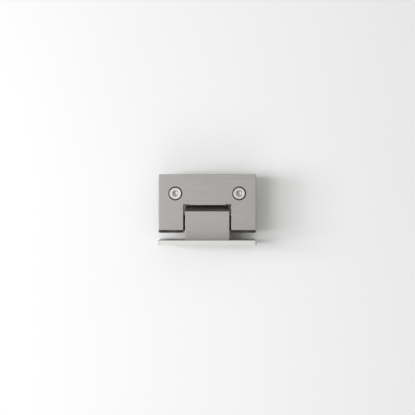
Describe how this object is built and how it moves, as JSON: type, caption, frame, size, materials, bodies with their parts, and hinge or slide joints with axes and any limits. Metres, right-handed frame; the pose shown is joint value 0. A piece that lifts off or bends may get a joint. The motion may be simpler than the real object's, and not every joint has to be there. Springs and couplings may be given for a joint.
{
  "type": "glass shower door hinge",
  "caption": "Wall-to-glass shower door hinge: a square knuckle on a wall plate carries a notched clamp that grips the glass and swings both ways.",
  "frame": {"origin": "centre of the wall plate's back face, which goes against the wall", "axes": "+X along the pivot, +Y from the wall towards the glass, +Z out of the clamp face that has the screws"},
  "size_m": [0.09, 0.065, 0.055],
  "materials": {
    "brushed_nickel": "brushed nickel, grain along the pivot",
    "screw_steel": "turned bright stainless",
    "spindle_steel": "ground stainless",
    "spring_steel": "drawn spring wire",
    "gasket_rubber": "smooth black rubber",
    "black_acetal": "turned black plastic",
    "sleeve_plastic": "translucent white plastic"
  },
  "bodies": {
    "wall_leaf": {"wall_plate": "brushed_nickel", "knuckle_block": "brushed_nickel", "knuckle_buffer": "black_acetal", "knuckle_screws": "screw_steel", "left_bush": "black_acetal", "right_bush": "black_acetal", "left_thrust_washer": "black_acetal", "right_thrust_washer": "black_acetal", "left_spring": "spring_steel", "right_spring": "spring_steel"},
    "glass_clamp": {"pivot_spindle": "spindle_steel", "spindle_set_screws": "screw_steel", "front_clamp_plate": "brushed_nickel", "back_clamp_plate": "brushed_nickel", "front_gasket": "gasket_rubber", "back_gasket": "gasket_rubber", "clamp_screws": "screw_steel", "left_screw_sleeve": "sleeve_plastic", "right_screw_sleeve": "sleeve_plastic"},
    "left_detent": {"left_plunger": "spindle_steel"},
    "right_detent": {"right_plunger": "spindle_steel"}
  },
  "joints": [
    {"name": "door_swing", "type": "hinge", "parent": "wall_leaf", "child": "glass_clamp", "pos_m": [0, 0.02, 0], "axis": [1, 0, 0], "range_deg": [-90, 90]},
    {"name": "left_plunger_travel", "type": "slide", "parent": "wall_leaf", "child": "left_detent", "axis": [0, 1, 0], "range_m": [0, 0.0007]},
    {"name": "right_plunger_travel", "type": "slide", "parent": "wall_leaf", "child": "right_detent", "axis": [0, 1, 0], "range_m": [0, 0.0007]}
  ]
}
